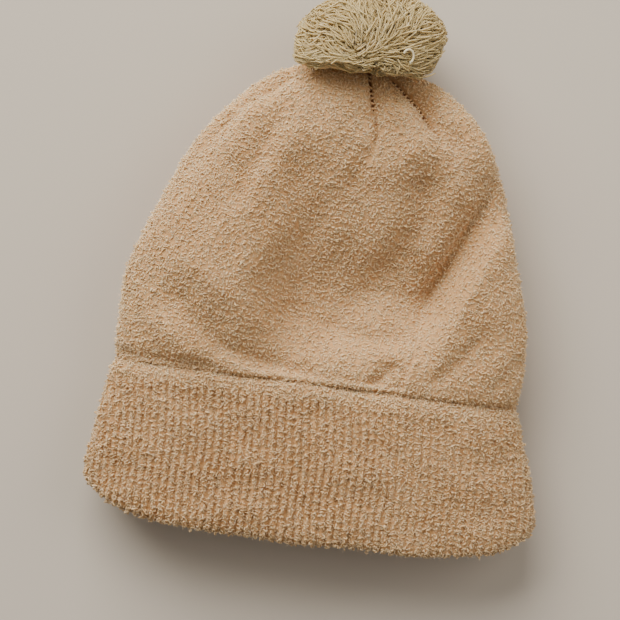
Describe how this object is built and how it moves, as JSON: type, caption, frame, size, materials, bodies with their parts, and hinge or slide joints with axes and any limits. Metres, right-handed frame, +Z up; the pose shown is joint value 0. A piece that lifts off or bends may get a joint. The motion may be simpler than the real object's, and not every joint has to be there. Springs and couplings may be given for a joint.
{
  "type": "pom pom beanie",
  "caption": "Cuffed knitted winter hat with a yarn pom pom tied to its gathered top, lying flat; the pom pom rocks and turns on its tie.",
  "frame": {"origin": "on the table under the middle of the hat's bounding box", "axes": "+X across the hat, +Y from the mouth to the pom pom, +Z up off the table, out of the hat's front"},
  "size_m": [0.2382, 0.2909, 0.0769],
  "materials": {
    "crown_knit": "brushed boucle knit",
    "cuff_rib": "brushed boucle rib",
    "sewing_thread": "matte thread",
    "tie_yarn": "smooth yarn",
    "pom_yarn": "smooth cut yarn"
  },
  "bodies": {
    "hat": {"crown_knit": "crown_knit", "cuff_band": "cuff_rib", "brim_linking_thread": "sewing_thread", "back_seam_thread": "sewing_thread", "cuff_seam_thread": "sewing_thread", "crown_gather_thread": "sewing_thread", "tie_inner_knot": "tie_yarn", "tie_inner_tails": "tie_yarn", "dart_thread_front_left": "sewing_thread", "dart_thread_front_centre": "sewing_thread", "dart_thread_front_right": "sewing_thread", "dart_thread_back_left": "sewing_thread", "dart_thread_back_centre": "sewing_thread", "dart_thread_back_right": "sewing_thread"},
    "tie_knot": {"tie_outer_knot": "tie_yarn"},
    "tie_yarn": {"tie_outer_tails": "tie_yarn"},
    "pom_pom": {"pom_binding": "tie_yarn", "pom_yarns": "pom_yarn"}
  },
  "joints": [
    {"name": "pom_swing", "type": "hinge", "parent": "hat", "child": "tie_knot", "pos_m": [0, 0.1079, 0.0388], "axis": [0, 0, 1], "range_deg": [-22, 22]},
    {"name": "pom_tilt", "type": "hinge", "parent": "tie_knot", "child": "tie_yarn", "pos_m": [0, 0.1079, 0.0388], "axis": [1, 0, 0], "range_deg": [0, 24]},
    {"name": "pom_twist", "type": "hinge", "parent": "tie_yarn", "child": "pom_pom", "pos_m": [0, 0.1079, 0.0388], "axis": [0, 1, 0], "range_deg": [-45, 45]}
  ]
}
